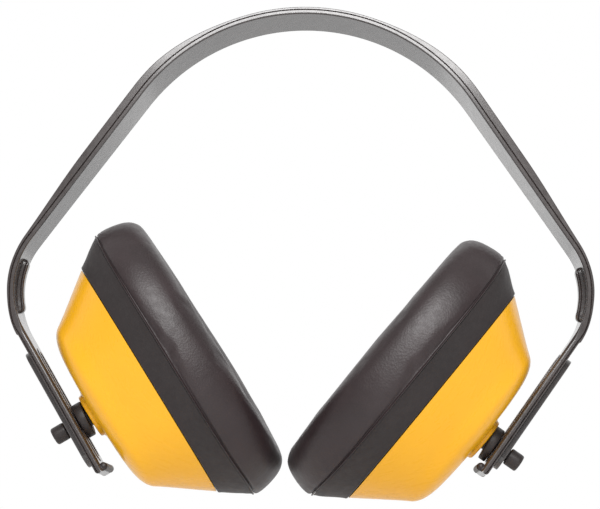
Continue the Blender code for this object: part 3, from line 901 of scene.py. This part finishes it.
def make_skirt(side, finish):
    """The cushion's lower skin, from the shell's rim up to the weld."""
    rim = SHELL_RIM / MM
    seam = SEAM_DEPTH / MM
    half = SHELL_HALF_LENGTH / MM
    wide = SEAM_HALF_LENGTH / MM
    # Each point is a half length, a depth and the share of the seam's bow, in millimetres.
    outer = [(half + 0.25, rim + 0.25, 0.0), (half + 0.6, rim + 0.45, 0.0), (half + 1.0, rim + 1.2, 0.0),
             (half + 2.3, rim + 3.1, 0.15), (half + 3.9, rim + 5.3, 0.45), (half + 5.3, rim + 7.3, 0.8),
             (wide - 0.5, seam - 0.9, 0.97), (wide - 0.1, seam - 0.35, 1.0)]
    profile = [(half - 1.2, rim + 0.3, 0.0)] + [tuple(p) for p in curve_through(outer, 3)]
    profile += [(wide - 1.1, seam - 0.4, 1.0), (wide - 2.0, seam - 1.2, 0.9), (half + 1.0, rim + 3.4, 0.1),
                (half - 1.0, rim + 1.0, 0.0)]
    rings = [bow(oval(r * MM, depth * MM, RING_COUNT), SEAM_BOW * share) for r, depth, share in profile]
    skirt = place("skirt_" + side, loft("skirt", rings, loop=True), cup_frame(side), 60.0)
    to_cup = cup_frame(side).inverted()
    seed = SKIRT_SEED[side]
    for vertex in skirt.data.vertices:
        p = to_cup @ vertex.co
        share = smooth(p.z, SHELL_RIM + 1.0 * MM, SHELL_RIM + 4.0 * MM)
        share *= 1.0 - smooth(p.z, SEAM_DEPTH - 3.0 * MM, SEAM_DEPTH - 0.8 * MM)
        dent = noise.noise(p * 70.0 + Vector((seed, 0.0, 0.0))) * 0.30 * MM
        dent += noise.noise(p * 210.0 + Vector((0.0, seed, 0.0))) * 0.06 * MM
        vertex.co += vertex.normal * dent * share
    skirt.data.update()
    finish_piece(skirt, finish, "cup_" + side, "skirt", "cushion_skirt_" + side)


# ---------------------------------------------------------------- inside the cup

def make_foam(side, finish):
    """The dished foam liner, its cut top edge a little uneven."""
    base = FOAM_BASE / MM
    under = [(22.0, base + 0.1), (28.6, base + 0.2), (30.4, base + 1.4), (32.4, base + 4.4),
             (34.2, base + 6.8)]
    edge = [(34.3, base + 7.7), (33.2, base + 8.1), (31.6, base + 7.7)]
    dish = [(29.4, base + 6.2), (26.4, base + 4.6), (22.0, base + 3.8), (17.0, base + 3.5),
            (13.0, base + 3.4), (11.2, base + 3.4)]
    rings = [oval(r * MM, depth * MM) for r, depth in curve_through(under + edge + dish, 3)]
    foam = place("liner_" + side, loft("foam", rings), cup_frame(side), 60.0)
    to_cup = cup_frame(side).inverted()
    for vertex in foam.data.vertices:
        p = to_cup @ vertex.co
        lumps = noise.noise(p * 160.0) * 0.35 * MM + noise.noise(p * 480.0) * 0.12 * MM
        vertex.co += vertex.normal * lumps * smooth(p.z, (base + 2.0) * MM, (base + 4.0) * MM)
    foam.data.update()
    finish_piece(foam, finish, "cup_" + side, "acoustic_foam", "acoustic_foam_" + side)


def keep_cad(node, finish):
    """A CAD node whose shape is right gets its finish only."""
    solid = frame["nodes"][node]
    solid.data.materials.clear()
    solid.data.materials.append(finish)


# ---------------------------------------------------------------- studio

FLOOR_HEIGHT = -0.195
FLOOR_HALF_SIZE = 3.0
KEY_PLACE = (0.02, -0.80, 0.42)
KEY_AIM = (0.0, 0.0, -0.08)
KEY_SIZE = 0.55
KEY_POWER = 8.5

# The world is white behind the object and dimmer in front, going by the direction's Y.
FRONT_WORLD = 0.45
FRONT_FROM = -0.5
BACK_FROM = 0.35

CAMERA_TARGET = Vector((-1.29 * MM, 0.0, -77.54 * MM))
CAMERA_AZIMUTH = math.radians(1.5)
CAMERA_ELEVATION = math.radians(-9.5)
CAMERA_DISTANCE = 0.600
CAMERA_LENS = 111.6
CAMERA_SENSOR = 36.0


def make_camera():
    """A long lens from a little below, looking up at the crown's inner face."""
    back = Vector((math.sin(CAMERA_AZIMUTH) * math.cos(CAMERA_ELEVATION),
                   -math.cos(CAMERA_AZIMUTH) * math.cos(CAMERA_ELEVATION), math.sin(CAMERA_ELEVATION)))
    data = bpy.data.cameras.new("camera")
    data.lens = CAMERA_LENS
    data.sensor_width = CAMERA_SENSOR
    data.clip_start = 0.01
    camera = bpy.data.objects.new("camera", data)
    bpy.context.scene.collection.objects.link(camera)
    camera.location = CAMERA_TARGET + back * CAMERA_DISTANCE
    camera.rotation_mode = "QUATERNION"
    camera.rotation_quaternion = (-back).to_track_quat("-Z", "Y")
    bpy.context.scene.camera = camera


def soft_light(name, place_at, aim, size, power):
    """A round area light that points at a place."""
    data = bpy.data.lights.new(name, "AREA")
    data.shape = "DISK"
    data.size = size
    data.energy = power
    light = bpy.data.objects.new(name, data)
    bpy.context.scene.collection.objects.link(light)
    light.location = place_at
    light.rotation_mode = "QUATERNION"
    light.rotation_quaternion = (Vector(aim) - Vector(place_at)).to_track_quat("-Z", "Y")


def make_studio():
    """The world, one soft light and a pale floor."""
    settings = bpy.context.scene.view_settings
    settings.view_transform = "Standard"
    settings.look = "None"
    world = bpy.data.worlds.new("studio")
    bpy.context.scene.world = world
    world.use_nodes = True
    tree = world.node_tree
    where = tree.nodes.new("ShaderNodeTexCoord").outputs["Generated"]
    split = tree.nodes.new("ShaderNodeSeparateXYZ")
    tree.links.new(where, split.inputs["Vector"])
    shade = tree.nodes.new("ShaderNodeMapRange")
    for name, number in zip(RANGE_SOCKETS, (FRONT_FROM, BACK_FROM, FRONT_WORLD, 1.0)):
        shade.inputs[name].default_value = number
    tree.links.new(split.outputs["Y"], shade.inputs["Value"])
    tree.links.new(shade.outputs["Result"], tree.nodes["Background"].inputs["Strength"])
    tree.nodes["Background"].inputs["Color"].default_value = (1.0, 1.0, 1.0, 1.0)
    soft_light("key", KEY_PLACE, KEY_AIM, KEY_SIZE, KEY_POWER)
    half = FLOOR_HALF_SIZE
    corners = [(-half, -half, FLOOR_HEIGHT), (half, -half, FLOOR_HEIGHT), (half, half, FLOOR_HEIGHT),
               (-half, half, FLOOR_HEIGHT)]
    mesh = bpy.data.meshes.new("floor")
    mesh.from_pydata(corners, [], [(0, 1, 2, 3)])
    mesh.materials.append(floor_material())
    floor = bpy.data.objects.new("floor", mesh)
    bpy.context.scene.collection.objects.link(floor)


def main():
    """Make the studio and then each side's pieces."""
    make_camera()
    make_studio()
    band = band_plastic()
    pivot = pivot_plastic()
    shell = shell_plastic()
    cover = soft_pvc("cover_pvc", (0.016, 0.0085, 0.0092), (0.026, 0.0150, 0.0160), 0.38, 0.48, 0.30)
    skirt = soft_pvc("skirt_pvc", (0.0095, 0.0050, 0.0050), (0.0150, 0.0085, 0.0085), 0.55, 0.68, 0.28)
    foam = foam_material()
    for side in SIDES:
        make_band(side, band, pivot)
        make_pin(side, pivot)
        make_collar(side, pivot)
        make_shell(side, shell)
        make_skirt(side, skirt)
        make_cover(side, cover)
        make_foam(side, foam)
        keep_cad("cushion_plate_" + side, pivot)
        keep_cad("socket_retainer_" + side, pivot)


main()
